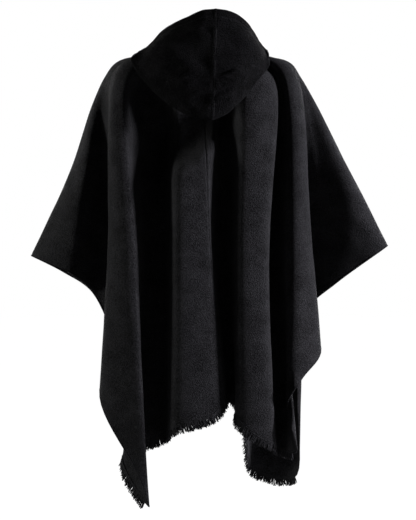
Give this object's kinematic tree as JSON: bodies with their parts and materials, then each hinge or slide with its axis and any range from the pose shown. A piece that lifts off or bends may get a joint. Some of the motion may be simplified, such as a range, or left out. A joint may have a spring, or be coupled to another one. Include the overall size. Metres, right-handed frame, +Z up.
{
  "type": "hooded poncho",
  "caption": "Wide hooded poncho of thick woollen cloth with fringed hems, hanging filled out with its hood down.",
  "frame": {"origin": "on the shoulder line at the middle of the neck hole, where the wearer's neck and shoulders hold it", "axes": "+Z up, -Y towards the wearer's back, +Y towards the chest, -X towards the wearer's left arm"},
  "size_m": [0.9211, 0.3975, 1.2521],
  "materials": {
    "cloth": "felted twill",
    "fringe": "loose warp yarn"
  },
  "bodies": {
    "root": {"panel_left": "cloth", "panel_right": "cloth", "hood_left": "cloth", "hood_right": "cloth", "fringe_back_left": "fringe", "fringe_back_right": "fringe", "fringe_front_left": "fringe", "fringe_front_right": "fringe"}
  },
  "joints": []
}
